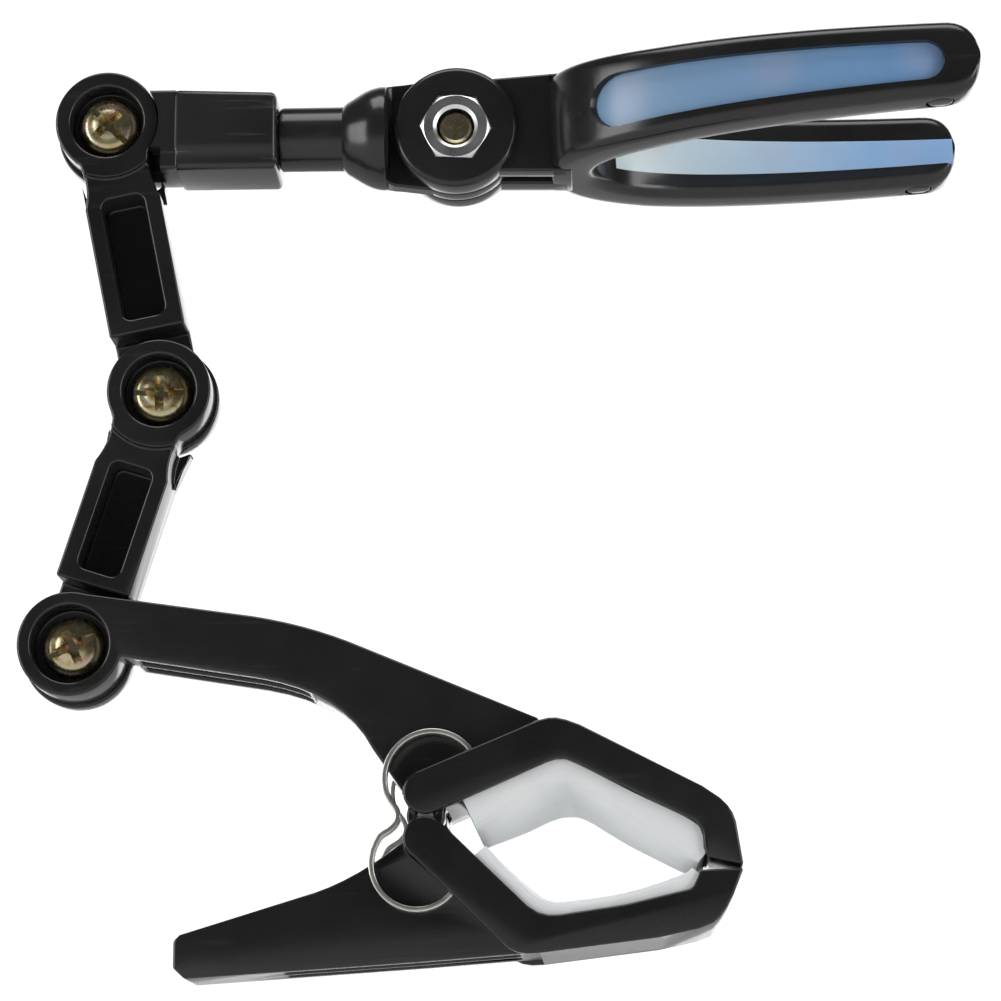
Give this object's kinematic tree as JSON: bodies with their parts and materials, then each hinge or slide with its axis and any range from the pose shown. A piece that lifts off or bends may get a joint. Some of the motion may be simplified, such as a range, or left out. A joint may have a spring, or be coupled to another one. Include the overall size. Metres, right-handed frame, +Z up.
{
  "type": "clip-on reading lamp",
  "caption": "Small clip-on reading lamp: sprung clip with padded jaws, folding arm of flat links, swivel neck and horseshoe light head with milky light strips.",
  "frame": {"origin": "middle of the space between the closed jaw pads, where the lamp grips what it is clipped to", "axes": "+X from the clip handles to the jaw tip, +Z up with the arm above the clip, +Y along every hinge pin towards the back, away from the screw heads"},
  "size_m": [0.1245, 0.045, 0.1212],
  "materials": {
    "black_plastic": "moulded, glossy with a fine satin break-up",
    "pale_rubber": "matt",
    "yellow_zinc": "yellow chromate zinc plating",
    "bright_zinc": "bright zinc plating",
    "spring_steel": "bright drawn steel",
    "cell_steel": "nickel plated",
    "milky_diffuser": "milky, translucent",
    "led_board": "white solder mask",
    "led_chip": "clear resin over phosphor"
  },
  "bodies": {
    "upper_clip": {"upper_clip_half": "black_plastic", "clip_pin": "spring_steel", "upper_jaw_pad": "pale_rubber", "near_clip_spring": "spring_steel", "far_clip_spring": "spring_steel"},
    "lower_clip": {"lower_clip_half": "black_plastic", "lower_jaw_pad": "pale_rubber"},
    "lower_arm": {"lower_link": "black_plastic", "lower_hinge_screw": "yellow_zinc", "lower_hinge_nut": "yellow_zinc"},
    "upper_arm": {"upper_link": "black_plastic", "middle_hinge_screw": "yellow_zinc", "middle_hinge_nut": "yellow_zinc"},
    "swivel_base": {"swivel_block": "black_plastic", "upper_hinge_screw": "yellow_zinc", "upper_hinge_nut": "yellow_zinc"},
    "swivel_neck": {"swivel_rod": "black_plastic", "swivel_washer": "bright_zinc", "swivel_screw": "bright_zinc"},
    "lamp_head": {"head_frame": "black_plastic", "head_bolt": "bright_zinc", "head_nut": "bright_zinc", "battery_hatch": "black_plastic", "coin_cell": "cell_steel", "plus_contact": "spring_steel", "minus_contact": "spring_steel", "led_strip": "led_board", "led_chips": "led_chip", "near_diffuser": "milky_diffuser", "far_diffuser": "milky_diffuser", "near_switch_dome": "spring_steel", "far_switch_dome": "spring_steel"},
    "near_button": {"near_switch_button": "black_plastic"},
    "far_button": {"far_switch_button": "black_plastic"}
  },
  "joints": [
    {"name": "clip_open", "type": "hinge", "parent": "upper_clip", "child": "lower_clip", "pos_m": [-0.0202, 0, 0.0046], "axis": [0, 1, 0], "range_deg": [0, 25], "stiffness_Nm_per_rad": 0.3, "springref_deg": -20.05, "deforming": ["near_clip_spring", "far_clip_spring"]},
    {"name": "lower_fold", "type": "hinge", "parent": "upper_clip", "child": "lower_arm", "pos_m": [-0.0665, 0, 0.0275], "axis": [0, 1, 0], "range_deg": [-120, 3]},
    {"name": "middle_fold", "type": "hinge", "parent": "lower_arm", "child": "upper_arm", "pos_m": [-0.05574, 0, 0.06143], "axis": [0, 1, 0], "range_deg": [-65, 45]},
    {"name": "upper_fold", "type": "hinge", "parent": "upper_arm", "child": "swivel_base", "pos_m": [-0.06328, 0, 0.09817], "axis": [0, 1, 0], "range_deg": [-120, 2]},
    {"name": "neck_twist", "type": "hinge", "parent": "swivel_base", "child": "swivel_neck", "pos_m": [-0.036, 0, 0.09657], "axis": [1, 0, 0], "continuous": true},
    {"name": "head_tilt", "type": "hinge", "parent": "swivel_neck", "child": "lamp_head", "pos_m": [-0.0168, 0, 0.09657], "axis": [0, 1, 0], "range_deg": [-90, 90]},
    {"name": "near_press", "type": "slide", "parent": "lamp_head", "child": "near_button", "axis": [-0.0523, 0, 0.9986], "range_m": [0, 0.0004], "stiffness_N_per_m": 300, "springref_m": -0.0006},
    {"name": "far_press", "type": "slide", "parent": "lamp_head", "child": "far_button", "axis": [-0.0523, 0, 0.9986], "range_m": [0, 0.0004], "stiffness_N_per_m": 300, "springref_m": -0.0006}
  ]
}
